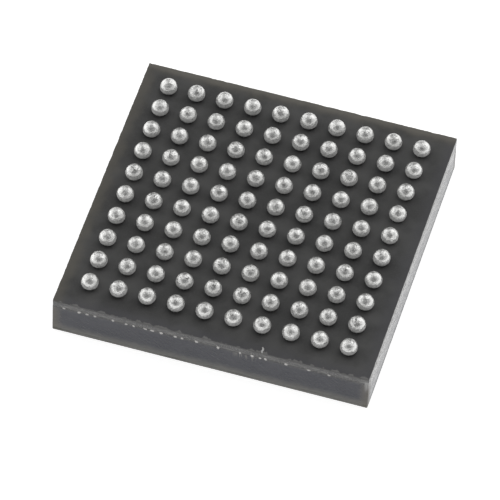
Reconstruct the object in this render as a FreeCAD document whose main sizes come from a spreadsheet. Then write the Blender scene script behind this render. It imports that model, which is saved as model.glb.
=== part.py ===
"""Overmoulded ball grid array package with a full grid of solder balls.

The package lies on its moulded face with the balls up. The origin is the centre of that face, X runs
along the ball rows, Y across them and Z out through the balls. All sizes are in millimetres.
"""
import FreeCAD, Part
import Sketcher

import math
import os

from FreeCAD import Rotation, Vector

# Counts

RINGS = 5                      # square rings of balls around the centre
SIDES = 4
ROW_LETTERS = "abcdefghjk"     # rows are lettered without the letter i
FINGER_RING = 3                # the bond fingers stand just outside this ring of vias

# Driving sizes: alias, value and what it is

SIZES = [
    ("ball_pitch", 1.00, "distance between ball centres"),
    ("edge_margin", 1.00, "outer ball centre to the sawn side"),
    ("ball_diameter", 0.60, "solder ball after reflow"),
    ("pad_opening", 0.45, "round opening of the ball-side mask"),
    ("pad_overlap", 0.05, "mask lapping over the rim of a ball pad"),
    ("mould_height", 1.20, "moulded face to the die-side mask"),
    ("mask_cover", 0.03, "solder mask over the copper"),
    ("copper_thickness", 0.02, "copper foil and plating"),
    ("core_thickness", 0.20, "laminate between the copper layers"),
    ("via_offset", 0.50, "ball centre to its via, along X and along Y"),
    ("via_drill", 0.15, "drilled hole in the laminate"),
    ("via_plating", 0.02, "copper wall of the via"),
    ("land_rim", 0.05, "land around the drilled hole"),
    ("ball_track", 0.12, "width of the track from ball pad to via"),
    ("net_track", 0.06, "width of a die-side track"),
    ("finger_setback", 0.20, "via centre to the near end of a bond finger"),
    ("finger_length", 0.30, "bond finger along the wire"),
    ("finger_width", 0.09, "bond finger across the wire"),
    ("window_margin", 0.06, "mask opening past the bond fingers"),
    ("die_size", 5.00, "silicon die along X and along Y"),
    ("die_thickness", 0.30, "silicon die"),
    ("attach_thickness", 0.03, "adhesive between die and laminate"),
    ("attach_squeeze", 0.08, "adhesive standing out past the die"),
    ("bond_pad_size", 0.08, "aluminium pad on the die"),
    ("bond_pad_height", 0.01, "aluminium pad above the silicon"),
    ("bond_pad_pitch", 0.18, "distance between bond pads"),
    ("bond_pad_inset", 0.10, "bond pad centre to the edge of the die"),
    ("wire_diameter", 0.025, "bond wire"),
    ("wire_rise", 0.20, "bond pad to the point where the wire's rise and fall would meet"),
    ("wire_radius", 0.05, "bend of the wire at the top of its loop"),
    ("ball_bond_diameter", 0.06, "squashed wire ball on the bond pad"),
    ("ball_bond_height", 0.015, "squashed wire ball on the bond pad"),
    ("mark_diameter", 0.80, "round dimple that marks the first ball's corner"),
    ("mark_depth", 0.05, "the same dimple"),
    ("mark_inset", 1.00, "dimple centre to the two sawn sides"),
]

# Sizes that follow from the driving ones

DERIVED = [
    ("body_width", f"{2 * RINGS - 1} * ball_pitch + 2 * edge_margin", "package along X and Y"),
    ("mask_thickness", "mask_cover + copper_thickness", "mask with the copper it covers"),
    ("die_side_copper", "mould_height + mask_cover", "height of the die-side copper"),
    ("core_bottom", "die_side_copper + copper_thickness", "height of the core's die side"),
    ("core_top", "core_bottom + core_thickness", "height of the core's ball side"),
    ("pad_face", "core_top + copper_thickness", "height of the ball pads' outer face"),
    ("ball_face", "pad_face + mask_cover", "height of the ball-side mask's outer face"),
    ("ball_centre", "ball_face + sqrt((ball_diameter / 2)^2 - (pad_opening / 2)^2)", "height of the balls' centres"),
    ("pad_diameter", "pad_opening + 2 * pad_overlap", "ball pad under the mask"),
    ("land_diameter", "via_drill + 2 * land_rim", "via land"),
    ("via_bore", "via_drill - 2 * via_plating", "hole left in the plated via"),
    ("first_via", "ball_pitch / 2 + via_offset", "innermost via from the centre lines"),
    ("finger_near", "first_via + %d * ball_pitch + finger_setback" % (FINGER_RING - 1), "near end of the bond fingers"),
    ("finger_far", "finger_near + finger_length", "far end of the bond fingers"),
    ("die_face", "mould_height - attach_thickness - die_thickness", "height of the die's circuit face"),
    ("bond_face", "die_face - bond_pad_height", "height of the bond pads' outer face"),
]

# Routing of the die-side copper, in ball pitches

FINGER_FAN = 0.80              # spread of the bond fingers against the tracks outside them
TURN_IN = 0.40                 # sideways step of the tracks that pass beyond a ring's last via
TURN_OUT = 0.45
TAIL_STUB = 0.10               # straight end of a plating tail, at right angles to the sawn side
# where each net's plating tail meets the sawn side, and None where a net has no tail
TAILS = [-5.09, None, -4.56, -4.28, -4.01, -3.38, -2.92, -2.66, -2.25, -2.01, -1.70, -1.21, -0.97,
         -0.47, 0.28, 1.04, 1.46, None, 1.73, 1.92, 2.63, None, 3.42, None, 4.12]

doc = FreeCAD.newDocument("bga_chip")


# The spreadsheet

def make_sheet():
    """Write the driving and the derived sizes into one sheet, each with its alias."""
    sheet = doc.addObject("Spreadsheet::Sheet", "Sizes")
    rows = [(alias, str(value), note) for alias, value, note in SIZES]
    rows += [(alias, "=" + formula, note) for alias, formula, note in DERIVED]
    for row, (alias, content, note) in enumerate(rows, start=1):
        sheet.set(f"A{row}", alias)
        sheet.set(f"B{row}", content)
        sheet.set(f"C{row}", note)
        sheet.setAlias(f"B{row}", alias)
    doc.recompute()
    return sheet


SHEET = make_sheet()
PARTS = []


def size(alias):
    """Read one size from the sheet."""
    return float(getattr(SHEET, alias))


def sized(text):
    """Turn a formula of plain size names into an expression on the sheet."""
    names = sorted([row[0] for row in SIZES + DERIVED], key=len, reverse=True)
    out = ""
    while text:
        name = next((n for n in names if text.startswith(n)), None)
        out += "Sizes." + name if name else text[0]
        text = text[len(name) if name else 1:]
    return out


def bind(thing, **formulas):
    """Bind properties of an object to formulas of size names."""
    for prop, formula in formulas.items():
        thing.setExpression(prop.replace("__", "."), sized(formula))
    return thing


def keep(thing, label):
    """Give a finished sub-part its label and put it on the list of sub-parts."""
    thing.Label = label
    PARTS.append(thing)
    return thing


# Plain solids

def block(name, width, length, height, bottom):
    """A rectangular block centred on the Z axis, its lower face at the height bottom."""
    box = doc.addObject("Part::Box", name)
    return bind(box, Length=width, Width=length, Height=height, Placement__Base__x=f"-({width}) / 2",
                Placement__Base__y=f"-({length}) / 2", Placement__Base__z=bottom)


def disc(name, diameter, height, x, y, bottom):
    """An upright cylinder with its lower face at the height bottom."""
    cylinder = doc.addObject("Part::Cylinder", name)
    return bind(cylinder, Radius=f"({diameter}) / 2", Height=height, Placement__Base__x=x,
                Placement__Base__y=y, Placement__Base__z=bottom)


def joined(name, kind, shapes):
    """A Part::MultiFuse or Part::Compound of several objects."""
    thing = doc.addObject(kind, name)
    setattr(thing, "Links" if kind == "Part::Compound" else "Shapes", shapes)
    return thing


def cut(name, base, tool):
    """The base object less the tool object."""
    thing = doc.addObject("Part::Cut", name)
    thing.Base = base
    thing.Tool = tool
    thing.Refine = False
    return thing


# PartDesign helpers

def new_body(name):
    """An empty body."""
    return doc.addObject("PartDesign::Body", name)


def origin_part(body, role):
    """One of a body's own origin planes or axes."""
    return next(feature for feature in body.Origin.OriginFeatures if feature.Role == role)


def sketch_on(body, name, role, offset=None):
    """An empty sketch on one of the body's origin planes, at an offset along its normal."""
    sketch = body.newObject("Sketcher::SketchObject", name)
    sketch.AttachmentSupport = [(origin_part(body, role), "")]
    sketch.MapMode = "FlatFace"
    if offset:
        bind(sketch, AttachmentOffset__Base__z=offset)
    return sketch


def constrain(sketch, kind, *args, formula=None):
    """Add one constraint, with its size bound to the sheet where a formula is given."""
    if formula is None:
        sketch.addConstraint(Sketcher.Constraint(kind, *args))
    else:
        value = float(sketch.evalExpression(sized(formula)))
        number = sketch.addConstraint(Sketcher.Constraint(kind, *args, value))
        sketch.setExpression(f"Constraints[{number}]", sized(formula))


def draw_loop(sketch, points):
    """Draw a closed loop of straight lines through rough points and join their ends."""
    lines = [sketch.addGeometry(Part.LineSegment(Vector(*start, 0), Vector(*end, 0)), False)
             for start, end in zip(points, points[1:] + points[:1])]
    for line, following in zip(lines, lines[1:] + lines[:1]):
        constrain(sketch, "Coincident", line, 2, following, 1)
    return lines


def draw_rectangle(sketch, width, height, x="0 * ball_pitch", y="0 * ball_pitch"):
    """Draw a rectangle with its centre at x, y."""
    rough = [(-1.0, -1.0), (1.0, -1.0), (1.0, 1.0), (-1.0, 1.0)]
    bottom, right, top, left = draw_loop(sketch, rough)
    for line in (bottom, top):
        constrain(sketch, "Horizontal", line)
    for line in (left, right):
        constrain(sketch, "Vertical", line)
    constrain(sketch, "DistanceX", bottom, 1, bottom, 2, formula=width)
    constrain(sketch, "DistanceY", right, 1, right, 2, formula=height)
    constrain(sketch, "DistanceX", -1, 1, bottom, 2, formula=f"{x} + ({width}) / 2")
    constrain(sketch, "DistanceY", -1, 1, right, 2, formula=f"{y} + ({height}) / 2")


def draw_circle(sketch, diameter, x, y):
    """Draw a circle with its centre at x, y."""
    circle = sketch.addGeometry(Part.Circle(Vector(1, 1, 0), Vector(0, 0, 1), 1), False)
    constrain(sketch, "Diameter", circle, formula=diameter)
    constrain(sketch, "DistanceX", -1, 1, circle, 3, formula=x)
    constrain(sketch, "DistanceY", -1, 1, circle, 3, formula=y)


def pad(body, sketch, name, length):
    """Pad a sketch upwards."""
    feature = body.newObject("PartDesign::Pad", name)
    feature.Profile = sketch
    return bind(feature, Length=length)


def pocket(body, sketch, name, depth):
    """Cut a sketch downwards, and make sure that it does cut."""
    doc.recompute()
    before = body.Shape.Volume
    feature = body.newObject("PartDesign::Pocket", name)
    feature.Profile = sketch
    bind(feature, Length=depth)
    doc.recompute()
    if not feature.Shape.Volume < before:
        raise RuntimeError(f"{name} cuts nothing")
    return feature


def row_pattern(body, name, axis, count, length):
    """A linear pattern along one of the body's axes."""
    pattern = body.newObject("PartDesign::LinearPattern", name)
    pattern.Direction = (origin_part(body, axis), [""])
    pattern.Occurrences = count
    return bind(pattern, Length=length)


def mirror(body, name, plane):
    """A mirror in one of the body's origin planes."""
    step = body.newObject("PartDesign::Mirrored", name)
    step.MirrorPlane = (origin_part(body, plane), [""])
    return step


def repeat(body, feature, name, steps):
    """Run a feature through several patterns, one after the other."""
    transform = body.newObject("PartDesign::MultiTransform", name)
    transform.Originals = [feature]
    transform.Transformations = steps
    body.Tip = transform


def repeat_over_grid(body, feature, name):
    """Repeat a feature that stands at the first ball or via of one quadrant over the whole grid."""
    span = f"{RINGS - 1} * ball_pitch"
    repeat(body, feature, name, [row_pattern(body, name + "_along_x", "X_Axis", RINGS, span),
                                 row_pattern(body, name + "_along_y", "Y_Axis", RINGS, span),
                                 mirror(body, name + "_left", "YZ_Plane"),
                                 mirror(body, name + "_front", "XZ_Plane")])


def grid_of_discs(name, diameter, place, height, bottom):
    """A body of upright discs, one at every ball or via of the grid."""
    body = new_body(name)
    sketch = sketch_on(body, name + "_circle", "XY_Plane", bottom)
    draw_circle(sketch, diameter, place, place)
    repeat_over_grid(body, pad(body, sketch, name + "_pad", height), name + "_grid")
    return body


def pierced_layer(name, height, bottom, diameter, place, depth):
    """A square layer of the package with a round hole at every ball or via, cut from its upper face."""
    body = new_body(name)
    outline = sketch_on(body, name + "_outline", "XY_Plane", bottom)
    draw_rectangle(outline, "body_width", "body_width")
    pad(body, outline, name + "_layer", height)
    hole = sketch_on(body, name + "_hole", "XY_Plane", f"{bottom} + {height}")
    draw_circle(hole, diameter, place, place)
    repeat_over_grid(body, pocket(body, hole, name + "_holes", depth), name + "_grid")
    return body


# Shapes of Part's own functions

def feature(name, shape):
    """A Part::Feature that holds a shape."""
    thing = doc.addObject("Part::Feature", name)
    thing.Shape = shape
    return thing


def turned(shape, side):
    """A copy of a shape of the right side, turned to another side."""
    copy = shape.copy()
    copy.rotate(Vector(0, 0, 0), Vector(0, 0, 1), 360 / SIDES * side)
    return copy


def track(points, width, bottom, height):
    """A flat track of even width along a polyline, with mitred corners and square ends."""
    normals = []
    for (x0, y0), (x1, y1) in zip(points, points[1:]):
        run = math.hypot(x1 - x0, y1 - y0)
        normals.append(((y0 - y1) / run, (x1 - x0) / run))
    left, right = [], []
    for (x, y), before, after in zip(points, normals[:1] + normals, normals + normals[-1:]):
        mitre = width / 2 / (1 + before[0] * after[0] + before[1] * after[1])
        shift = (mitre * (before[0] + after[0]), mitre * (before[1] + after[1]))
        left.append(Vector(x + shift[0], y + shift[1], bottom))
        right.append(Vector(x - shift[0], y - shift[1], bottom))
    outline = left + right[::-1]
    return Part.Face(Part.makePolygon(outline + outline[:1])).extrude(Vector(0, 0, height))


def plate(diameter, x, y, bottom, height):
    """A flat round plate."""
    return Part.makeCylinder(diameter / 2, height, Vector(x, y, bottom))


def fused(shapes):
    """One solid of several overlapping ones."""
    return shapes[0].multiFuse(shapes[1:]).removeSplitter().Solids[0]


# Routing of the die-side copper. All of it is worked out for the right side, where a net runs outwards
# along X, and turned to the other three. Ring r holds 2 r - 1 nets of each side.

def via_place(step):
    """Signed distance of a via from the centre line, for its signed step along the ring."""
    return math.copysign(size("first_via") + (abs(step) - 1) * size("ball_pitch"), step)


def net_order():
    """The nets of the right side as (ring, step), in the order of their bond fingers."""
    nets = []
    for ring in range(1, RINGS + 1):
        for step in [*range(-ring, 0), *range(1, ring)]:
            # the ring beside the fingers sets the slot, and each ring further off squeezes it inwards
            beside = FINGER_RING if ring <= FINGER_RING else FINGER_RING + 1
            slot = math.copysign(abs(step) - abs(ring - beside) / 2, step) / beside
            nets.append((slot, math.copysign(ring, step), ring, step))
    return [(ring, step) for _, _, ring, step in sorted(nets)]


NETS = net_order()


def crossing(ring, net, turn):
    """Where a net passes the line of a ring's vias: evenly spread between the vias on either side."""
    own = [(index, via_place(step)) for index, (of_ring, step) in enumerate(NETS) if of_ring == ring]
    first, last = own[0], own[-1]
    if net <= first[0]:
        return first[1] - turn * size("ball_pitch") * (first[0] - net)
    if net >= last[0]:
        return last[1] + turn * size("ball_pitch") * (net - last[0])
    for (low, start), (high, end) in zip(own, own[1:]):
        if low <= net <= high:
            return start + (end - start) * (net - low) / (high - low)


def finger_place(net):
    """Distance of a net's bond finger from the centre line of its side."""
    return FINGER_FAN * crossing(FINGER_RING + 1, net, TURN_OUT)


def net_points(net):
    """The polylines of a net's tracks: from its finger inwards, and outwards to the sawn side."""
    ring, step = NETS[net]
    tail = TAILS[net]
    middle = size("finger_near") + size("finger_length") / 2
    place = finger_place(net)
    inner, outer = [(middle, place)], [(middle, place), (size("finger_far"), place)]
    if ring <= FINGER_RING:
        inner.append((size("finger_near"), place))
        for line in range(FINGER_RING, ring - 1, -1):
            inner.append((via_place(line), via_place(step) if line == ring else crossing(line, net, TURN_IN)))
    last = RINGS if tail is not None else ring
    for line in range(FINGER_RING + 1, last + 1):
        turn = TURN_OUT if line == FINGER_RING + 1 else TURN_IN
        outer.append((via_place(line), via_place(step) if line == ring else crossing(line, net, turn)))
    if tail is not None:
        side = size("body_width") / 2
        outer += [(side - TAIL_STUB, tail * size("ball_pitch")), (side, tail * size("ball_pitch"))]
    return [points for points in (inner, outer) if len(points) > 2]


def net_copper(net):
    """A net's bond finger, tracks and via land as one flat solid."""
    ring, step = NETS[net]
    layer = (size("die_side_copper"), size("copper_thickness"))
    near, far = size("finger_near"), size("finger_far")
    finger = track([(near, finger_place(net)), (far, finger_place(net))], size("finger_width"), *layer)
    land = plate(size("land_diameter"), via_place(ring), via_place(step), *layer)
    return fused([finger, land] + [track(points, size("net_track"), *layer) for points in net_points(net)])


def finger_window():
    """The opening of the die-side mask over one side's row of bond fingers, down to the core."""
    margin = size("window_margin")
    low = finger_place(0) - size("finger_width") / 2 - margin
    high = finger_place(len(NETS) - 1) + size("finger_width") / 2 + margin
    return Part.makeBox(size("finger_length") + 2 * margin, high - low, size("mask_thickness"),
                        Vector(size("finger_near") - margin, low, size("mould_height")))


# Bond wires

def wire_path(run, drop):
    """A wire's centre line in its own upright plane: a straight rise, a tangent arc and a straight fall.

    The wire rises from its ball bond, bends over and falls to the finger, a length of run away and
    a height of drop back past the bond pad. Heights count away from the laminate.
    """
    start = Vector(0, 0, size("ball_bond_height") / 2)
    corner = Vector(0, 0, size("wire_rise"))
    finger = Vector(run, 0, -drop)
    back, onward = start - corner, finger - corner
    half = back.getAngle(onward) / 2
    # the bend is as round as asked for, or as the rise leaves room for
    reach = min(size("wire_radius") / math.tan(half), 0.8 * back.Length)
    back.normalize()
    onward.normalize()
    towards_centre = (back + onward).normalize()
    centre = corner + towards_centre * (reach / math.cos(half))
    first, last = corner + back * reach, corner + onward * reach
    crown = centre - towards_centre * (reach * math.tan(half))
    end = finger + onward * size("wire_diameter")
    edges = [Part.LineSegment(start, first), Part.Arc(first, crown, last), Part.LineSegment(last, end)]
    return Part.Wire([edge.toShape() for edge in edges])


def bond_wire(net):
    """One wire with its ball bond, cut off flat where it lies on the bond finger."""
    x_pad = size("die_size") / 2 - size("bond_pad_inset")
    y_pad = (net - (len(NETS) - 1) / 2) * size("bond_pad_pitch")
    x_end = size("finger_near") + size("finger_length") / 3
    dx, dy = x_end - x_pad, finger_place(net) - y_pad
    path = wire_path(math.hypot(dx, dy), size("die_side_copper") - size("bond_face"))
    start = path.Vertexes[0].Point
    section = Part.Wire(Part.makeCircle(size("wire_diameter") / 2, start, Vector(0, 0, 1)))
    wire = path.makePipeShell([section], True, False)
    bond = plate(size("ball_bond_diameter"), 0, 0, 0, size("ball_bond_height"))
    solid = fused([bond, wire])
    # heights were counted away from the laminate, which is downwards here
    solid.rotate(Vector(0, 0, 0), Vector(1, 0, 0), 180)
    solid.rotate(Vector(0, 0, 0), Vector(0, 0, 1), math.degrees(math.atan2(dy, dx)))
    solid.translate(Vector(x_pad, y_pad, size("bond_face")))
    reach = size("finger_length")
    above = Part.makeBox(reach, reach, reach, Vector(x_end - reach / 2, finger_place(net) - reach / 2,
                                                     size("die_side_copper")))
    return solid.cut(above).Solids[0]


# The laminate and its copper

core = keep(pierced_layer("Core", "core_thickness", "core_bottom", "via_drill", "first_via",
                          "core_thickness"), "substrate_core")

barrels = new_body("Barrels")
ring_sketch = sketch_on(barrels, "barrel_ring", "XY_Plane", "core_bottom")
draw_circle(ring_sketch, "via_drill", "first_via", "first_via")
draw_circle(ring_sketch, "via_bore", "first_via", "first_via")
repeat_over_grid(barrels, pad(barrels, ring_sketch, "barrel_pad", "core_thickness"), "barrel_grid")
keep(barrels, "via_barrels")

keep(grid_of_discs("Plugs", "via_bore", "first_via", "core_thickness", "core_bottom"), "via_plugs")

SIDE_NAMES = ["right", "back", "left", "front"]
net_shapes = [net_copper(net) for net in range(len(NETS))]
copper = [keep(feature(f"Copper{side}", Part.Compound([turned(shape, side) for shape in net_shapes])),
               f"die_side_copper_{name}") for side, name in enumerate(SIDE_NAMES)]

window = finger_window()
windows = feature("Windows", Part.Compound([turned(window, side) for side in range(SIDES)]))
mask_block = block("DieSideMaskBlock", "body_width", "body_width", "mask_thickness", "mould_height")
mask_tools = joined("DieSideMaskOpenings", "Part::Compound", [windows] + copper)
keep(cut("DieSideMask", mask_block, mask_tools), "die_side_solder_mask")


def ball_pad_copper():
    """A ball pad of the first quadrant's corner with its track and via land, repeated over the grid."""
    layer = (size("core_top"), size("copper_thickness"))
    ball, via = size("ball_pitch") / 2, size("first_via")
    single = fused([plate(size("pad_diameter"), ball, ball, *layer),
                    plate(size("land_diameter"), via, via, *layer),
                    track([(ball, ball), (via, via)], size("ball_track"), *layer)])
    shapes = []
    for column in range(RINGS):
        for row in range(RINGS):
            copy = single.translated(Vector(column * size("ball_pitch"), row * size("ball_pitch"), 0))
            shapes += [turned(copy, side) for side in range(SIDES)]
    return Part.Compound(shapes)


ball_pads = keep(feature("BallPads", ball_pad_copper()), "ball_pads")
opened_mask = pierced_layer("OpenedMask", "mask_thickness", "core_top", "pad_opening", "ball_pitch / 2",
                            "mask_cover")
keep(cut("BallSideMask", opened_mask, ball_pads), "ball_side_solder_mask")


# The solder balls, one body to a row

def ball_row(letter, row):
    """A row of balls: each is a sphere on a short neck that fills the mask opening."""
    body = new_body(f"BallRow{letter.upper()}")
    half = (len(ROW_LETTERS) - 1) / 2
    profile = sketch_on(body, "ball_profile_" + letter, "XZ_Plane")
    neck, foot, rim = size("pad_opening") / 2, size("pad_face"), size("ball_face")
    radius, centre = size("ball_diameter") / 2, size("ball_centre")
    base = profile.addGeometry(Part.LineSegment(Vector(0, foot, 0), Vector(neck, foot, 0)), False)
    wall = profile.addGeometry(Part.LineSegment(Vector(neck, foot, 0), Vector(neck, rim, 0)), False)
    sphere = Part.Circle(Vector(0, centre, 0), Vector(0, 0, 1), radius)
    arc = profile.addGeometry(Part.ArcOfCircle(sphere, math.atan2(rim - centre, neck), math.pi / 2), False)
    axis = profile.addGeometry(Part.LineSegment(Vector(0, centre + radius, 0), Vector(0, foot, 0)), False)
    for one, two in ((base, wall), (wall, arc), (arc, axis), (axis, base)):
        constrain(profile, "Coincident", one, 2, two, 1)
    constrain(profile, "Horizontal", base)
    constrain(profile, "Vertical", wall)
    for element, point in ((base, 1), (axis, 1), (arc, 3)):
        constrain(profile, "PointOnObject", element, point, -2)
    constrain(profile, "DistanceX", base, 1, base, 2, formula="pad_opening / 2")
    constrain(profile, "DistanceY", -1, 1, base, 2, formula="pad_face")
    constrain(profile, "DistanceY", -1, 1, wall, 2, formula="ball_face")
    constrain(profile, "DistanceY", -1, 1, arc, 3, formula="ball_centre")
    ball = body.newObject("PartDesign::Revolution", "ball_" + letter)
    ball.Profile = profile
    ball.ReferenceAxis = (profile, ["V_Axis"])
    body.Tip = ball
    row_steps = row_pattern(body, "balls_" + letter, "X_Axis", len(ROW_LETTERS),
                            f"{len(ROW_LETTERS) - 1} * ball_pitch")
    row_steps.Originals = [ball]
    body.Tip = row_steps
    return bind(body, Placement__Base__x=f"-{half} * ball_pitch",
                Placement__Base__y=f"{half - row} * ball_pitch")


for row, letter in enumerate(ROW_LETTERS):
    keep(ball_row(letter, row), f"ball_row_{letter}")


# The die and its wiring, which face away from the laminate

attach = keep(block("DieAttach", "die_size + 2 * attach_squeeze", "die_size + 2 * attach_squeeze",
                    "attach_thickness", "mould_height - attach_thickness"), "die_attach")
die = keep(block("Die", "die_size", "die_size", "die_thickness", "die_face"), "die")

bond_pads = new_body("BondPads")
first_pad = sketch_on(bond_pads, "first_bond_pad", "XY_Plane", "bond_face")
row_half = (len(NETS) - 1) / 2
draw_rectangle(first_pad, "bond_pad_size", "bond_pad_size", "die_size / 2 - bond_pad_inset",
               f"-{row_half} * bond_pad_pitch")
turn_round = bond_pads.newObject("PartDesign::PolarPattern", "pads_on_four_sides")
turn_round.Axis = (origin_part(bond_pads, "Z_Axis"), [""])
turn_round.Angle = 360
turn_round.Occurrences = SIDES
repeat(bond_pads, pad(bond_pads, first_pad, "bond_pad", "bond_pad_height"), "bond_pad_rows",
       [row_pattern(bond_pads, "pads_on_one_side", "Y_Axis", len(NETS),
                    f"{len(NETS) - 1} * bond_pad_pitch"), turn_round])
keep(bond_pads, "die_bond_pads")

wire_shapes = [bond_wire(net) for net in range(len(NETS))]
wires = [keep(feature(f"Wires{side}", Part.Compound([turned(shape, side) for shape in wire_shapes])),
              f"bond_wires_{name}") for side, name in enumerate(SIDE_NAMES)]


# The moulded cap, which fills the room around the die and the mask windows over the bond fingers

cap_block = block("CapBlock", "body_width", "body_width", "mould_height", "0 * mould_height")
cap_body = joined("CapBody", "Part::MultiFuse", [cap_block, windows])
bare = [shape.common(window) for shape in net_shapes]
bare_copper = feature("BareCopper", Part.Compound([turned(shape, side) for shape in bare for side in range(SIDES)]))
mark = disc("FirstBallMark", "mark_diameter", "mark_depth", "mark_inset - body_width / 2",
            "body_width / 2 - mark_inset", "0 * mould_height")
inside = joined("Inside", "Part::Compound", [mark, attach, die, bond_pads, bare_copper] + wires)
keep(cut("MouldCap", cap_body, inside), "mould_cap")


# Checks and files

doc.recompute()
for thing in doc.Objects:
    if {"Invalid", "Error"} & set(thing.State):
        raise RuntimeError(f"{thing.Name} failed: {thing.State}")
for thing in PARTS:
    if thing.Shape.isNull() or not thing.Shape.isValid():
        raise RuntimeError(f"{thing.Label} has no valid shape")

os.makedirs("parts", exist_ok=True)
for thing in PARTS:
    thing.Shape.exportStep(f"parts/{thing.Label}.step")
    print(f"{thing.Label}: {len(thing.Shape.Solids)} solids, {thing.Shape.Volume:.5f} mm3")
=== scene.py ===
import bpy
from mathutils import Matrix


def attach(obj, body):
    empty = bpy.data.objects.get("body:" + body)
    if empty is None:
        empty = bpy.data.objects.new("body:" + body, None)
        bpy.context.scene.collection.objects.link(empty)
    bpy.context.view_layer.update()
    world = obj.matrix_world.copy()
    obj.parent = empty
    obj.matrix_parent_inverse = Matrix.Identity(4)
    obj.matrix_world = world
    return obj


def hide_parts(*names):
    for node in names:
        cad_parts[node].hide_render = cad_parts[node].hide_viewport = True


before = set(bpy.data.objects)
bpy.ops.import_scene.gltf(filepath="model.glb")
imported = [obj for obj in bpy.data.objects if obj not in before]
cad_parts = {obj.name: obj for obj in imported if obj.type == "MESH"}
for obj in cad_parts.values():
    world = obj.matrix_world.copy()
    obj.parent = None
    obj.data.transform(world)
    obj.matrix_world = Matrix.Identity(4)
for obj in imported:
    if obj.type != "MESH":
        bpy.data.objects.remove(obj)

"""A ball grid array package, lying on its moulded face with its solder balls up.

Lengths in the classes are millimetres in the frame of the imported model; MM turns them into metres.
"""
import logging
import math
import random
from dataclasses import dataclass, field
from enum import Enum
from typing import Iterable, Sequence

import bmesh
import bpy
from mathutils import Matrix, Vector, noise

MM = 0.001
ROOT = "root"
ROW_LETTERS = "abcdefghjk"
SIDES = ("right", "back", "left", "front")
WHITE = (1.0, 1.0, 1.0, 1.0)

# Sizes that several pieces share

HALF = 5.5            # half the width of the square package
MOULD_TOP = 1.20      # heights of the layers' faces
CORE_BOTTOM = 1.25
CORE_TOP = 1.45
PAD_FACE = 1.47
MASK_FACE = 1.50

Colour = tuple[float, float, float]
Span = tuple[float, float]
Level = tuple[float, float, float, float]
Socket = bpy.types.NodeSocket

log = logging.getLogger("package")


# Node trees

@dataclass(frozen=True)
class Grain:
    """An even noise of about so many waves to the millimetre."""

    scale: float
    detail: float = 2.0
    roughness: float = 0.5


@dataclass(frozen=True)
class Streaks:
    """A noise with so many waves to the millimetre along a sawn side, and so many up it."""

    along: float
    up: float
    detail: float = 2.0
    roughness: float = 0.5


class Tree:
    """A node tree with short calls for adding nodes and joining them."""

    def __init__(self, tree: bpy.types.NodeTree) -> None:
        """Empty the tree and keep it.

        Args:
            tree: the node tree of a material or of the world.
        """
        self.tree = tree
        self.tree.nodes.clear()

    def node(self, kind: str, inputs: dict | None = None, **settings: object) -> bpy.types.Node:
        """Add a node.

        Args:
            kind: the node's type name without its ShaderNode prefix.
            inputs: socket name or index to a value, or to the output socket that feeds it.
            settings: the node's own properties.

        Returns:
            The new node.
        """
        made = self.tree.nodes.new("ShaderNode" + kind)
        for key, value in settings.items():
            setattr(made, key, value)
        for key, value in (inputs or {}).items():
            if isinstance(value, Socket):
                self.tree.links.new(value, made.inputs[key])
            else:
                made.inputs[key].default_value = value
        return made

    def math(self, operation: str, *values: object, clamp: bool = False) -> Socket:
        """Add a Math node and return its output."""
        made = self.node("Math", dict(enumerate(values)), operation=operation, use_clamp=clamp)
        return made.outputs[0]

    def times(self, first: object, *others: object) -> Socket:
        """Multiply values, in order.

        Args:
            first: the first factor.
            others: the other factors.

        Returns:
            The product.
        """
        for other in others:
            first = self.math("MULTIPLY", first, other)
        return first

    def plus(self, one: object, two: object) -> Socket:
        """Add two values and return the sum."""
        return self.math("ADD", one, two)

    def step(self, value: Socket, low: float, high: float) -> Socket:
        """Go smoothly from 0 at low to 1 at high, also where high is the smaller of the two.

        Args:
            value: the value that decides.
            low: where the result is 0.
            high: where the result is 1.

        Returns:
            The value from 0 to 1.
        """
        if high < low:
            return self.math("SUBTRACT", 1.0, self.step(value, high, low))
        made = self.node("MapRange", {"Value": value, "From Min": low, "From Max": high},
                         interpolation_type="SMOOTHSTEP")
        return made.outputs[0]

    def spread(self, value: Socket, result: Span, given: Span = (0.0, 1.0)) -> Socket:
        """Go evenly through the result's span while the value goes through the given one."""
        return self.node("MapRange", {"Value": value, "From Min": given[0], "From Max": given[1],
                                      "To Min": result[0], "To Max": result[1]}).outputs[0]

    def between(self, share: Socket, one: object, two: object) -> Socket:
        """Mix two numbers, with the share of the second, and return the result."""
        return self.node("Mix", {0: share, 2: one, 3: two}).outputs[0]

    def mix(self, share: object, one: object, two: object) -> Socket:
        """Mix two colours and return the result.

        Args:
            share: how much of the second colour.
            one: the first colour, a triple or a socket.
            two: the second colour, a triple or a socket.

        Returns:
            The colour output.
        """
        one, two = (c if isinstance(c, Socket) else (*c, 1.0) for c in (one, two))
        return self.node("Mix", {0: share, 6: one, 7: two}, data_type="RGBA").outputs[2]


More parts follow.
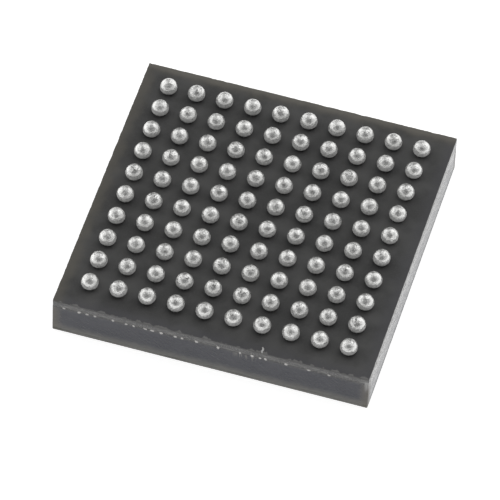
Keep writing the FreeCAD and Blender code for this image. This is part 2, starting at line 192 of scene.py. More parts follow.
class Surface(Tree):
    """A material whose textures are laid out in millimetres of the part's own frame."""

    def __init__(self, name: str) -> None:
        """Make the material and its millimetre coordinates.

        Args:
            name: the material's name.
        """
        self.material = bpy.data.materials.new(name)
        self.material.use_nodes = True
        super().__init__(self.material.node_tree)
        place = self.node("TexCoord").outputs["Object"]
        self.place = self.node("VectorMath", {0: place, "Scale": 1.0 / MM}, operation="SCALE").outputs[0]
        split = self.node("SeparateXYZ", {0: self.place})
        self.x, self.y, self.z = split.outputs

    def stretched(self, x: object, y: object, z: object) -> Socket:
        """Join three values to a texture place."""
        return self.node("CombineXYZ", {0: x, 1: y, 2: z}).outputs[0]

    def noise(self, where: Socket, grain: Grain) -> Socket:
        """Add a noise at a texture place and return its value."""
        return self.node("TexNoise", {"Vector": where, "Scale": grain.scale, "Detail": grain.detail,
                                      "Roughness": grain.roughness}).outputs[0]

    def grain(self, grain: Grain) -> Socket:
        """Add an even noise and return its value."""
        return self.noise(self.place, grain)

    def streaks(self, streaks: Streaks) -> Socket:
        """Add a noise drawn out along or up the sawn sides and return its value."""
        where = self.stretched(self.times(self.along(), streaks.along), 0.0, self.times(self.z, streaks.up))
        return self.noise(where, Grain(1.0, streaks.detail, streaks.roughness))

    def cells(self, scale: float) -> Socket:
        """Add a pattern of cells, so many to the millimetre, and return the distance from their middles."""
        return self.node("TexVoronoi", {"Vector": self.place, "Scale": scale}).outputs["Distance"]

    def along(self) -> Socket:
        """Place along a sawn side, by one formula for all four."""
        return self.plus(self.x, self.y)

    def reach(self) -> Socket:
        """How near a place is to its nearest sawn side, as a distance from the middle of the package."""
        return self.math("MAXIMUM", self.math("ABSOLUTE", self.x), self.math("ABSOLUTE", self.y))

    def near_side(self, distance: Socket, start: float, full: float) -> Socket:
        """Rise towards a sawn side.

        Args:
            distance: the distance from the middle of the package.
            start: how far inside the side the rise starts.
            full: how far inside the side it is complete.

        Returns:
            The value from 0 to 1.
        """
        return self.step(distance, HALF - start, HALF - full)

    def slope(self) -> Socket:
        """How a face lies: 1 facing up, 0 upright and -1 facing down."""
        return self.node("SeparateXYZ", {0: self.node("NewGeometry").outputs["Normal"]}).outputs[2]

    def bump(self, height: Socket, depth: float, below: Socket | None = None) -> Socket:
        """Turn a height of 0 to 1 into a normal.

        Args:
            height: the texture value.
            depth: the real depth of the relief in millimetres.
            below: a normal that this one is laid over.

        Returns:
            The normal output.
        """
        inputs = {"Strength": 1.0, "Distance": depth * MM, "Height": height}
        if below is not None:
            inputs["Normal"] = below
        return self.node("Bump", inputs).outputs[0]

    def finish(self, **sockets: object) -> bpy.types.Material:
        """Add the shader and the output.

        Args:
            sockets: values or sockets for the shader, with underscores for the spaces in their names.

        Returns:
            The finished material.
        """
        inputs = {key.replace("_", " "): value for key, value in sockets.items()}
        shader = self.node("BsdfPrincipled", inputs)
        self.node("OutputMaterial", {"Surface": shader.outputs[0]})
        return self.material


# Finishes

@dataclass(frozen=True)
class SolderMaskFinish:
    """Matt black solder mask, paler and browner near its rim and light where the saw cut through it."""

    name: str = "solder_mask"
    slot: str = "solder_mask"
    dark: Colour = (0.072, 0.072, 0.072)
    light: Colour = (0.106, 0.106, 0.105)
    rim: Colour = (0.150, 0.140, 0.120)
    pale: Colour = (0.096, 0.096, 0.104)
    cut: Colour = (0.215, 0.212, 0.210)
    scraped: Colour = (0.215, 0.205, 0.182)
    rim_share: float = 0.68
    pale_share: float = 0.6
    scraped_share: float = 0.5
    rim_width: float = 0.55
    scraped_width: float = 0.34
    full: float = 0.04
    cut_slopes: Span = (0.999, 0.97)
    cut_width: Span = (0.3, 0.25)
    cloud: Grain = Grain(0.8, 3.0)
    cloud_contrast: Span = (0.35, 0.65)
    grain: Grain = Grain(16.0, 4.0, 0.6)
    grain_contrast: Span = (0.45, 0.75)
    grain_share: float = 0.5
    pits: Grain = Grain(60.0)
    wander: Grain = Grain(2.2, 4.0)
    wander_width: float = 0.45
    scraped_wander: float = 0.5
    grain_depth: float = 0.003
    pits_depth: float = 0.001
    roughness: Span = (0.42, 0.56)
    cut_roughness: float = 0.30
    specular: float = 0.12

    def material(self) -> bpy.types.Material:
        """Build the material.

        Returns:
            The finished material.
        """
        s = Surface(self.name)
        grain = s.grain(self.grain)
        colour = s.mix(s.step(s.grain(self.cloud), *self.cloud_contrast), self.dark, self.light)
        colour = s.mix(s.times(s.step(grain, *self.grain_contrast), self.grain_share), colour, self.light)
        wander = s.times(s.math("SUBTRACT", s.grain(self.wander), 0.5), self.wander_width)
        front_right = s.plus(s.math("MAXIMUM", s.x, s.times(s.y, -1.0)), wander)
        fresh = s.times(s.near_side(front_right, self.rim_width, self.full), self.pale_share)
        colour = s.mix(fresh, colour, self.pale)
        back_left = s.plus(s.math("MAXIMUM", s.times(s.x, -1.0), s.y), wander)
        worn = s.times(s.near_side(back_left, self.rim_width, self.full), self.rim_share)
        colour = s.mix(worn, colour, self.rim)
        back = s.plus(s.y, s.times(wander, self.scraped_wander))
        back = s.near_side(back, self.scraped_width, self.full)
        colour = s.mix(s.times(back, self.scraped_share), colour, self.scraped)
        cut = s.times(s.step(s.slope(), *self.cut_slopes), s.near_side(s.reach(), *self.cut_width))
        colour = s.mix(cut, colour, self.cut)
        rough = s.between(cut, s.spread(grain, self.roughness), self.cut_roughness)
        relief = s.bump(grain, self.grain_depth)
        relief = s.bump(s.grain(self.pits), self.pits_depth, relief)
        return s.finish(Base_Color=colour, Roughness=rough, Specular_IOR_Level=self.specular, Normal=relief)


@dataclass(frozen=True)
class MouldFinish:
    """Filled black epoxy: matt as moulded, and half polished with slanting saw marks where it was cut."""

    name: str = "mould_compound"
    slot: str = "mould_compound"
    base: Colour = (0.018, 0.021, 0.038)
    pale: Colour = (0.034, 0.037, 0.054)
    foot: Colour = (0.270, 0.262, 0.230)
    corner: Colour = (0.165, 0.150, 0.124)
    smear: Colour = (0.130, 0.127, 0.124)
    # Dust and painted sheen: the right side is painted pale, partly for dust and partly for the light of its
    # grazing reflection.
    dust_and_sheen: Colour = (0.44, 0.435, 0.43)
    hair: Colour = (0.170, 0.166, 0.160)
    groove: Colour = (0.040, 0.040, 0.028)
    pale_share: float = 0.3
    corner_share: float = 0.75
    smear_share: float = 0.45
    groove_share: float = 0.8
    dust_and_sheen_speck_share: float = 0.7
    foot_elsewhere: float = 0.2
    frayed_at: float = 1.25
    frayed_width: Span = (0.60, 0.25)
    corner_width: Span = (0.42, 0.05)
    right_width: Span = (0.2, 0.1)
    front_places: Span = (0.3 - HALF, 0.1 - HALF)
    foot_heights: Span = (0.56, 0.15)
    groove_heights: Span = (0.17, 0.12)
    frayed_heights: Span = (0.88, 1.16)
    dust_and_sheen_heights: Span = (0.75, 1.15)
    scuffed_heights: Span = (0.34, 0.02)
    smear_heights: Span = (MOULD_TOP - 0.04, MOULD_TOP + 0.14)
    cloud: Grain = Grain(1.4, 4.0, 0.55)
    cloud_contrast: Span = (0.36, 0.66)
    dirt: Grain = Grain(3.0)
    dirt_height: float = 0.16
    dirt_shares: Span = (0.35, 0.7)
    filler: Grain = Grain(11.0, 2.0, 0.6)
    filler_contrast: Span = (0.50, 0.62)
    fine: Grain = Grain(26.0, 3.0, 0.6)
    marks: Grain = Grain(1.0, 4.0, 0.62)
    marks_slant: Span = (9.0, 13.0)
    marks_drift: Span = (1.8, 0.7)
    marks_contrast: Span = (0.5, 0.72)
    marks_range: Span = (0.25, 0.75)
    lines: Streaks = Streaks(0.8, 30.0)
    lines_contrast: Span = (0.50, 0.60)
    drawn: Streaks = Streaks(9.0, 1.6, 3.0, 0.6)
    drawn_contrast: Span = (0.25, 0.6)
    drawn_height: float = 0.18
    frays: Streaks = Streaks(16.0, 1.2)
    frays_contrast: Span = (0.48, 0.60)
    moulded_slopes: Span = (0.6, 0.95)
    marks_depth: float = 0.006
    filler_depth: float = 0.010
    fine_depth: float = 0.003
    sawn_roughness: Span = (0.08, 0.30)
    scuffed_roughness: float = 0.42
    moulded_roughness: float = 0.55
    specular: float = 0.62

    def saw_marks(self, s: Surface) -> Socket:
        """Add the slanting marks of the blade.

        Args:
            s: the surface that they are added to.

        Returns:
            Their value.
        """
        along = s.along()
        across, up = self.marks_slant
        rise, run = self.marks_drift
        slant = s.plus(s.times(along, across), s.times(s.z, up))
        return s.noise(s.stretched(slant, s.times(s.z, rise), s.times(along, run)), self.marks)

    def material(self) -> bpy.types.Material:
        """Build the material.

        Returns:
            The finished material.
        """
        s = Surface(self.name)
        marks, lines, drawn = self.saw_marks(s), s.streaks(self.lines), s.streaks(self.drawn)
        filler = s.grain(self.filler)
        front = s.step(s.y, *self.front_places)
        right = s.near_side(s.x, *self.right_width)
        corner = s.math("MINIMUM", s.math("ABSOLUTE", s.x), s.math("ABSOLUTE", s.y))
        corner = s.near_side(corner, *self.corner_width)

        colour = s.mix(s.step(s.grain(self.cloud), *self.cloud_contrast), self.base, self.pale)
        colour = s.mix(s.times(s.step(marks, *self.marks_contrast), self.pale_share), colour, self.pale)
        foot = s.step(s.plus(s.z, s.times(s.grain(self.dirt), self.dirt_height)), *self.foot_heights)
        foot = s.times(foot, s.between(front, self.foot_elsewhere, 1.0))
        least, more = self.dirt_shares
        colour = s.mix(s.times(foot, s.plus(least, s.times(lines, more))), colour, self.foot)
        colour = s.mix(s.times(corner, self.corner_share), colour, self.corner)
        smear = s.step(s.plus(s.z, s.times(drawn, self.drawn_height)), *self.smear_heights)
        colour = s.mix(s.times(smear, self.smear_share), colour, self.smear)
        frayed = s.step(s.math("ABSOLUTE", s.math("SUBTRACT", s.x, self.frayed_at)), *self.frayed_width)
        frayed = s.times(frayed, front, s.step(s.z, *self.frayed_heights))
        frayed = s.times(frayed, s.step(s.streaks(self.frays), *self.frays_contrast))
        colour = s.mix(frayed, colour, self.hair)
        groove = s.times(s.step(lines, *self.lines_contrast), s.step(s.z, *self.groove_heights), front)
        colour = s.mix(s.times(groove, self.groove_share), colour, self.groove)
        # Dust and painted sheen: the upper right side and the specks on the right side are painted pale,
        # partly for dust and partly for the light that the sawn side reflects at a grazing angle.
        dust_and_sheen_mask = s.times(right, s.step(s.z, *self.dust_and_sheen_heights), s.step(drawn, *self.drawn_contrast))
        colour = s.mix(dust_and_sheen_mask, colour, self.dust_and_sheen)
        specks = s.times(right, s.math("SUBTRACT", 1.0, front), s.step(filler, *self.filler_contrast))
        colour = s.mix(s.times(specks, self.dust_and_sheen_speck_share), colour, self.dust_and_sheen)

        sawn = s.spread(marks, self.sawn_roughness, self.marks_range)
        scuffed = s.math("MAXIMUM", corner, s.times(right, s.step(s.z, *self.scuffed_heights)))
        sawn = s.between(scuffed, sawn, self.scuffed_roughness)
        moulded = s.step(s.math("ABSOLUTE", s.slope()), *self.moulded_slopes)
        rough = s.between(moulded, sawn, self.moulded_roughness)
        relief = s.bump(marks, self.marks_depth)
        relief = s.bump(filler, self.filler_depth, relief)
        relief = s.bump(s.grain(self.fine), self.fine_depth, relief)
        return s.finish(Base_Color=colour, Roughness=rough, Specular_IOR_Level=self.specular, Normal=relief)


@dataclass(frozen=True)
class LaminateFinish:
    """Sawn glass-fibre laminate: bundles that run along the cut, and ends of those that cross it."""

    name: str = "laminate"
    slot: str = "laminate"
    resin: Colour = (0.064, 0.063, 0.064)
    fibre: Colour = (0.26, 0.255, 0.245)
    # Dust and painted sheen: the lower part of the right side is painted pale, partly for dust and partly for
    # the light of its grazing reflection.
    dust_and_sheen: Colour = (0.54, 0.535, 0.53)
    dust_and_sheen_share: float = 0.75
    dust_and_sheen_heights: Span = (1.42, 1.26)
    right_width: Span = (0.2, 0.1)
    strands: Streaks = Streaks(3.0, 30.0, 4.0, 0.65)
    strands_contrast: Span = (0.4, 0.68)
    weave: Streaks = Streaks(2.2, 7.0)
    weave_contrast: Span = (0.42, 0.58)
    ends_scale: float = 22.0
    ends_contrast: Span = (0.45, 0.2)
    depth: float = 0.003
    roughness: float = 0.17
    specular: float = 0.8

    def material(self) -> bpy.types.Material:
        """Build the material.

        Returns:
            The finished material.
        """
        s = Surface(self.name)
        strand = s.streaks(self.strands)
        weave = s.step(s.streaks(self.weave), *self.weave_contrast)
        ends = s.step(s.cells(self.ends_scale), *self.ends_contrast)
        pattern = s.between(weave, s.step(strand, *self.strands_contrast), ends)
        colour = s.mix(pattern, self.resin, self.fibre)
        # Dust and painted sheen on the right side.
        dust_and_sheen_mask = s.times(s.near_side(s.x, *self.right_width), s.step(s.z, *self.dust_and_sheen_heights))
        colour = s.mix(s.times(dust_and_sheen_mask, self.dust_and_sheen_share), colour, self.dust_and_sheen)
        return s.finish(Base_Color=colour, Roughness=self.roughness, Specular_IOR_Level=self.specular,
                        Normal=s.bump(strand, self.depth))


@dataclass(frozen=True)
class SolderFinish:
    """Reflowed tin alloy: bright and frosted, with a scuffed crown on each ball and painted shade on its
    lower part.

    Each vertex of a ball carries a tone, how scuffed its ball is, and a crown, the height on the ball
    from -1 to 1 at the top. The spans named for a part of the ball are spans of the crown.
    """

    name: str = "solder"
    slot: str = "solder"
    bright: Colour = (0.88, 0.88, 0.865)
    dull: Colour = (0.24, 0.24, 0.235)
    # Painted shade: the lower part of each ball is painted dark, as if in the shade of its underside, which
    # makes the ball look flatter than its shape.
    foot: Colour = (0.16, 0.16, 0.16)
    scuffed_part: Span = (0.55, 0.92)
    painted_shade_part: Span = (-0.17, -0.42)
    bare_part: Span = (0.05, 0.60)
    grain: Grain = Grain(8.0, 4.0, 0.7)
    specks: Grain = Grain(22.0, 3.0, 0.6)
    mottle_contrast: Span = (0.47, 0.60)
    cells_scale: float = 9.0
    grain_depth: float = 0.020
    cells_depth: float = 0.007
    specks_depth: float = 0.003
    roughness: Span = (0.24, 0.42)
    metallic: Span = (0.20, 0.85)

    def material(self) -> bpy.types.Material:
        """Build the material.

        Returns:
            The finished material.
        """
        s = Surface(self.name)
        tone = s.node("Attribute", attribute_name="tone").outputs["Fac"]
        crown = s.node("Attribute", attribute_name="crown").outputs["Fac"]
        grain, specks = s.grain(self.grain), s.grain(self.specks)
        mottle = s.step(s.plus(s.times(grain, 0.5), s.times(specks, 0.5)), *self.mottle_contrast)
        share = s.math("MULTIPLY", s.times(mottle, s.step(crown, *self.scuffed_part)), tone, clamp=True)
        colour = s.mix(share, self.bright, self.dull)
        # Painted shade on the lower part of each ball.
        colour = s.mix(s.step(crown, *self.painted_shade_part), colour, self.foot)
        relief = s.bump(grain, self.grain_depth)
        relief = s.bump(s.cells(self.cells_scale), self.cells_depth, relief)
        relief = s.bump(specks, self.specks_depth, relief)
        return s.finish(Base_Color=colour, Metallic=s.spread(crown, self.metallic, self.bare_part),
                        Roughness=s.spread(share, self.roughness), Normal=relief)


@dataclass(frozen=True)
class MetalFinish:
    """A bright metal of the wiring, with a little unevenness."""

    name: str
    slot: str
    base: Colour
    worn: Colour
    roughness: float = 0.35
    sawn: Colour | None = None
    sawn_width: Span = (0.02, 0.01)
    grain: Grain = Grain(18.0, 3.0, 0.6)
    contrast: Span = (0.35, 0.7)
    depth: float = 0.003

    def material(self) -> bpy.types.Material:
        """Build the material.

        Returns:
            The finished material.
        """
        s = Surface(self.name)
        grain = s.grain(self.grain)
        colour = s.mix(s.step(grain, *self.contrast), self.base, self.worn)
        if self.sawn:
            colour = s.mix(s.near_side(s.reach(), *self.sawn_width), colour, self.sawn)
        return s.finish(Base_Color=colour, Metallic=1.0, Roughness=self.roughness,
                        Normal=s.bump(grain, self.depth))


@dataclass(frozen=True)
class PlainFinish:
    """A non-metal, such as silicon, adhesive or resin."""

    name: str
    slot: str
    base: Colour
    other: Colour
    roughness: float = 0.5
    scale: float = 6.0
    contrast: Span = (0.35, 0.7)
    depth: float = 0.002

    def material(self) -> bpy.types.Material:
        """Build the material.

        Returns:
            The finished material.
        """
        s = Surface(self.name)
        grain = s.grain(Grain(self.scale, 4.0, 0.6))
        colour = s.mix(s.step(grain, *self.contrast), self.base, self.other)
        return s.finish(Base_Color=colour, Roughness=self.roughness, Normal=s.bump(grain, self.depth))


class Finish(Enum):
    """The finishes of the package."""

    SOLDER_MASK = SolderMaskFinish()
    MASK_EDGE = LaminateFinish("sawn_mask_edge", "solder_mask", (0.034, 0.034, 0.035), (0.15, 0.147, 0.143))
    MOULD = MouldFinish()
    LAMINATE = LaminateFinish()
    BURR = PlainFinish("burr", "laminate", (0.62, 0.62, 0.61), (0.44, 0.44, 0.43), 0.5, 9.0)
    SOLDER = SolderFinish()
    COPPER = MetalFinish("copper", "copper", (0.86, 0.62, 0.46), (0.72, 0.48, 0.34), 0.38, (0.50, 0.49, 0.48))
    CUT_COPPER = MetalFinish("smeared_copper", "copper", (0.54, 0.53, 0.52), (0.22, 0.215, 0.21), 0.5)
    VIA_RESIN = PlainFinish("via_resin", "via_resin", (0.07, 0.07, 0.075), (0.10, 0.10, 0.10))
    SILICON = PlainFinish("silicon", "silicon", (0.20, 0.21, 0.24), (0.26, 0.27, 0.30), 0.18, 1.5)
    ADHESIVE = PlainFinish("adhesive", "adhesive", (0.75, 0.72, 0.64), (0.66, 0.63, 0.55))
    BOND_PAD = MetalFinish("bond_pad_metal", "bond_pad_metal", (0.82, 0.82, 0.84), (0.74, 0.74, 0.76), 0.25)
    WIRE = MetalFinish("wire_metal", "wire_metal", (0.98, 0.76, 0.34), (0.90, 0.66, 0.28), 0.22)

    @property
    def slot(self) -> str:
        """The record's material slot."""
        return self.value.slot


class Paints:
    """Builds each finish's material once."""

    def __init__(self) -> None:
        """Start with no materials."""
        self.made: dict[Finish, bpy.types.Material] = {}

    def of(self, finish: Finish) -> bpy.types.Material:
        """Give the material of a finish, building it at its first use.

        Args:
            finish: the finish.

        Returns:
            Its material.
        """
        if finish not in self.made:
            self.made[finish] = finish.value.material()
        return self.made[finish]


# Meshes

class Piece:
    """A mesh under construction, in millimetres, and what becomes of it."""

    def __init__(self, name: str) -> None:
        """Start an empty mesh.

        Args:
            name: the piece's name in the scene.
        """
        self.name = name
        self.bm = bmesh.new()

    def ring(self, points: Iterable[Sequence[float]]) -> list[bmesh.types.BMVert]:
        """Add a ring of vertices."""
        return [self.bm.verts.new(point) for point in points]

    def circle(self, x: float, y: float, radius: float, height: float,
               count: int) -> list[bmesh.types.BMVert]:
        """Add a level circle of vertices."""
        turns = (math.tau * i / count for i in range(count))
        return self.ring((x + radius * math.cos(a), y + radius * math.sin(a), height) for a in turns)

    def skin(self, rings: Sequence[Sequence[bmesh.types.BMVert]]) -> None:
        """Join closed rings with quads, in order.

        Args:
            rings: the rings, all with the same number of vertices.
        """
        for lower, upper in zip(rings, rings[1:]):
            count = len(lower)
            for i in range(count):
                j = (i + 1) % count
                self.bm.faces.new((lower[i], lower[j], upper[j], upper[i]))

    def shell(self, rings: Sequence[Sequence[bmesh.types.BMVert]]) -> None:
        """Join rings as skin does, and close each end with one face.

        Args:
            rings: the rings, all with the same number of vertices.
        """
        self.skin(rings)
        self.bm.faces.new(rings[0])
        self.bm.faces.new(rings[-1])

    def cap(self, rings: Sequence[Sequence[bmesh.types.BMVert]]) -> None:
        """Fill a flat region with triangles.

        Args:
            rings: the outer ring, and after it any rings that bound holes in the region.
        """
        self.bm.verts.index_update()
        edges = []
        for ring in rings:
            for one, two in zip(ring, [*ring[1:], ring[0]]):
                edges.append(self.bm.edges.get((one, two)) or self.bm.edges.new((one, two)))
        bmesh.ops.triangle_fill(self.bm, use_beauty=True, use_dissolve=False, edges=edges)

    def build(self, paints: Paints, finish: Finish, nodes: Sequence[str] = (),
              crease: float = 40.0) -> bpy.types.Object:
        """Turn the mesh into an object of the scene that rides on the package.

        Args:
            paints: the materials made so far.
            finish: the piece's finish.
            nodes: the CAD nodes that this piece stands for.
            crease: the angle in degrees from which an edge stays sharp.

        Returns:
            The new object.
        """
        bmesh.ops.recalc_face_normals(self.bm, faces=self.bm.faces)
        bmesh.ops.scale(self.bm, vec=(MM, MM, MM), verts=self.bm.verts)
        mesh = bpy.data.meshes.new(self.name)
        self.bm.to_mesh(mesh)
        self.bm.free()
        for polygon in mesh.polygons:
            polygon.use_smooth = True
        mesh.set_sharp_from_angle(angle=math.radians(crease))
        mesh.materials.append(paints.of(finish))
        thing = bpy.data.objects.new(self.name, mesh)
        bpy.context.scene.collection.objects.link(thing)
        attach(thing, ROOT)
        finish.slot
        if nodes:
            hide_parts(*nodes)
        log.info("%s: %d faces for %s", self.name, len(mesh.polygons), ", ".join(nodes) or "no node")
        return thing


@dataclass
class Outline:
    """The square outline of the sawn package, with slightly rounded corners."""

    corner: float = 0.045
    steps: int = 150
    corner_steps: int = 5

    def points(self) -> list[tuple[float, float, float, float]]:
        """List the outline's points.

        Returns:
            x, y and the outward direction of each point, anticlockwise from the right side.
        """
        flat = HALF - self.corner
        found = []
        for side in range(len(SIDES)):
            turn = math.pi / 2 * side
            c, s = round(math.cos(turn)), round(math.sin(turn))
            for i in range(self.steps):
                along = -flat + 2 * flat * i / self.steps
                found.append((c * HALF - s * along, s * HALF + c * along, c, s))
            for i in range(self.corner_steps):
                a = turn + math.pi / 2 * i / self.corner_steps
                x = flat * (c - s) + self.corner * math.cos(a)
                y = flat * (s + c) + self.corner * math.sin(a)
                found.append((x, y, math.cos(a), math.sin(a)))
        return found


@dataclass
class SawnLayer:
    """One layer of the package with its four sawn sides.

    Each level is a height with how far the side stands in from the outline there, how far the edge
    wanders in from that at most, and how deep the chips are that the blade broke out of it. The three
    sides apart from the front have only the spared share of these chips. The waves and the crumbs are
    fractal noises, each given by its dimension, the gap between its frequencies and their number.
    """

    name: str
    finish: Finish
    levels: Sequence[Level]
    outline: Outline = field(default_factory=Outline)
    seed: float = 0.0
    scale: float = 5.0
    climb: float = 1.5
    waves: tuple[float, float, int] = (0.9, 2.1, 3)
    crumbs: tuple[float, float, int] = (0.6, 2.4, 5)
    crumb_scale: float = 3.1
    crumb_more: float = 0.04
    crumb_gain: float = 1.3
    spared: float = 0.08

    def depth(self, x: float, y: float, facing: float, level: Level) -> float:
        """Tell how far the side stands in at a place.

        Args:
            x: the outline's x there.
            y: the outline's y there.
            facing: the outward direction's share of y, -1 on the front side.
            level: the level's height, inset, wander and chips.

        Returns:
            The distance in from the outline.
        """
        height, inset, wander, chips = level
        place = Vector((x * self.scale, y * self.scale, height * self.scale * self.climb + self.seed))
        d = inset + wander * (0.5 + 0.5 * noise.fractal(place, *self.waves))
        if chips:
            spot = Vector((x * self.crumb_scale, y * self.crumb_scale, self.seed * 2))
            most = chips if facing < -0.5 else chips * self.spared
            crumb = max(0.0, noise.fractal(spot, *self.crumbs) + self.crumb_more)
            d += most * min(1.0, crumb * self.crumb_gain)
        return max(d, 0.0)

    def walls(self, piece: Piece) -> tuple[list, list]:
        """Add the sides to a piece.

        Args:
            piece: the layer's mesh.

        Returns:
            The lowest and the highest ring of vertices.
        """
        rings = []
        for level in self.levels:
            ring = []
            for x, y, nx, ny in self.outline.points():
                d = self.depth(x, y, ny, level)
                ring.append((x - nx * d, y - ny * d, level[0]))
            rings.append(piece.ring(ring))
        piece.skin(rings)
        return rings[0], rings[-1]

    def faces(self, piece: Piece, low: list, high: list) -> None:
        """Close the layer with plain faces between its lowest and its highest ring."""
        piece.cap([low])
        piece.cap([high])

    def build(self, paints: Paints) -> bpy.types.Object:
        """Build the layer.

        Args:
            paints: the materials made so far.

        Returns:
            The layer's object.
        """
        piece = Piece(self.name + "_sawn")
        self.faces(piece, *self.walls(piece))
        return piece.build(paints, self.finish, [self.name])


@dataclass
class MouldCap(SawnLayer):
    """The moulded cap with the dimple that marks the first ball's corner, on its lower face."""

    mark: Span = (-4.5, 4.5)
    mark_radius: float = 0.40
    mark_depth: float = 0.05
    segments: int = 64

    def faces(self, piece: Piece, low: list, high: list) -> None:
        """Close the cap, with the dimple in its lower face.

        Args:
            piece: the cap's mesh.
            low: its lowest ring of vertices.
            high: its highest ring of vertices.
        """
        dimple = ((0.0, 0.0), (-0.008, 0.004), (-0.03, self.mark_depth - 0.008), (-0.05, self.mark_depth))
        rings = [piece.circle(*self.mark, self.mark_radius + wider, height, self.segments)
                 for wider, height in dimple]
        piece.skin(rings)
        piece.cap([low, rings[0]])
        piece.cap([rings[-1]])
        piece.cap([high])


@dataclass
class BallGrid:
    """Sizes and places of the solder balls and of the mask openings that they stand in."""

    pitch: float = 1.0
    radius: float = 0.30
    neck: float = 0.225

    @property
    def centre_height(self) -> float:
        """Height of the balls' centres."""
        return MASK_FACE + math.sqrt(self.radius ** 2 - self.neck ** 2)

    def place(self, column: int, row: int) -> Span:
        """Centre of a ball, from its column and its row."""
        half = (len(ROW_LETTERS) - 1) / 2
        return (column - half) * self.pitch, (half - row) * self.pitch

    def places(self) -> list[Span]:
        """Centres of all the balls."""
        count = range(len(ROW_LETTERS))
        return [self.place(column, row) for row in count for column in count]


@dataclass
class BallSideMask(SawnLayer):
    """The ball-side solder mask, with a softly edged opening under each ball."""

    grid: BallGrid = field(default_factory=BallGrid)
    segments: int = 32

    def faces(self, piece: Piece, low: list, high: list) -> None:
        """Close the mask, with an opening under each ball.

        Args:
            piece: the mask's mesh.
            low: its lowest ring of vertices.
            high: its highest ring of vertices.
        """
        opening = ((0.030, MASK_FACE), (0.016, MASK_FACE - 0.002),
                   (0.006, MASK_FACE - 0.008), (0.002, PAD_FACE))
        upper, lower = [], []
        for x, y in self.grid.places():
            rings = [piece.circle(x, y, self.grid.neck + wider, height, self.segments)
                     for wider, height in opening]
            piece.skin(rings)
            upper.append(rings[0])
            lower.append(rings[-1])
        piece.cap([high, *upper])
        piece.cap([low])
        for ring in lower:
            piece.cap([ring])


@dataclass
class SolderBalls:
    """The rows of solder balls, each ball a little uneven and scuffed in its own way."""

    grid: BallGrid = field(default_factory=BallGrid)
    segments: int = 48
    rings: int = 30
    shrink: float = 0.001
    unevenness: float = 0.007
    broad_scale: float = 2.1
    fine_scale: float = 5.2
    fine_share: float = 0.6
    calm_foot: float = 0.4
    tip_share: float = 0.3
    tones: Span = (0.55, 1.15)
    spins: Span = (0.0, 90.0)
    seed: int = 11

    def wave(self, out: Vector, spin: float) -> float:
        """Tell how uneven a ball is in one direction.

        Args:
            out: the direction from the ball's centre.
            spin: the ball's own offset.

        Returns:
            The unevenness from 0 to 1.
        """
        broad = noise.noise(out * self.broad_scale + Vector((spin, 0, 0)))
        fine = noise.noise(out * self.fine_scale + Vector((0, spin, 0)))
        return min(1.0, abs(broad + self.fine_share * fine))

    def ball(self, piece: Piece, x: float, y: float, tone: float, spin: float) -> list[Span]:
        """Add one ball to a piece.

        Args:
            piece: the row's mesh.
            x: the ball's centre along the row.
            y: the ball's centre across the rows.
            tone: how scuffed the ball is.
            spin: an offset that makes this ball's unevenness its own.

        Returns:
            The tone and the crown value of each vertex, in the order in which they were made.
        """
        grid = self.grid
        low = -math.asin((grid.centre_height - MASK_FACE) / grid.radius)
        loops = [piece.circle(x, y, grid.neck, height, self.segments) for height in (PAD_FACE, MASK_FACE)]
        marks = [(tone, math.sin(low))] * (2 * self.segments)
        for ring in range(1, self.rings):
            latitude = low + (math.pi / 2 - low) * ring / self.rings
            fade = min(1.0, (latitude - low) / self.calm_foot)
            points = []
            for i in range(self.segments):
                a = math.tau * i / self.segments
                out = Vector((math.cos(latitude) * math.cos(a), math.cos(latitude) * math.sin(a),
                              math.sin(latitude)))
                r = grid.radius - fade * (self.shrink + self.unevenness * self.wave(out, spin))
                points.append((x + out.x * r, y + out.y * r, grid.centre_height + out.z * r))
                marks.append((tone, out.z))
            loops.append(piece.ring(points))
        piece.skin(loops)
        piece.bm.faces.new(reversed(loops[0]))
        top = grid.centre_height + grid.radius - self.shrink - self.unevenness * self.tip_share
        tip = piece.bm.verts.new((x, y, top))
        marks.append((tone, 1.0))
        last = loops[-1]
        for i in range(self.segments):
            piece.bm.faces.new((last[i], last[(i + 1) % self.segments], tip))
        return marks

    def build(self, paints: Paints) -> None:
        """Build the ten rows.

        Args:
            paints: the materials made so far.
        """
        chance = random.Random(self.seed)
        for row, letter in enumerate(ROW_LETTERS):
            piece = Piece(f"solder_balls_{letter}")
            marks: list[Span] = []
            for column in range(len(ROW_LETTERS)):
                x, y = self.grid.place(column, row)
                marks += self.ball(piece, x, y, chance.uniform(*self.tones), chance.uniform(*self.spins))
            thing = piece.build(paints, Finish.SOLDER, [f"ball_row_{letter}"], crease=60.0)
            for index, name in enumerate(("tone", "crown")):
                layer = thing.data.attributes.new(name, "FLOAT", "POINT")
                layer.data.foreach_set("value", [mark[index] for mark in marks])


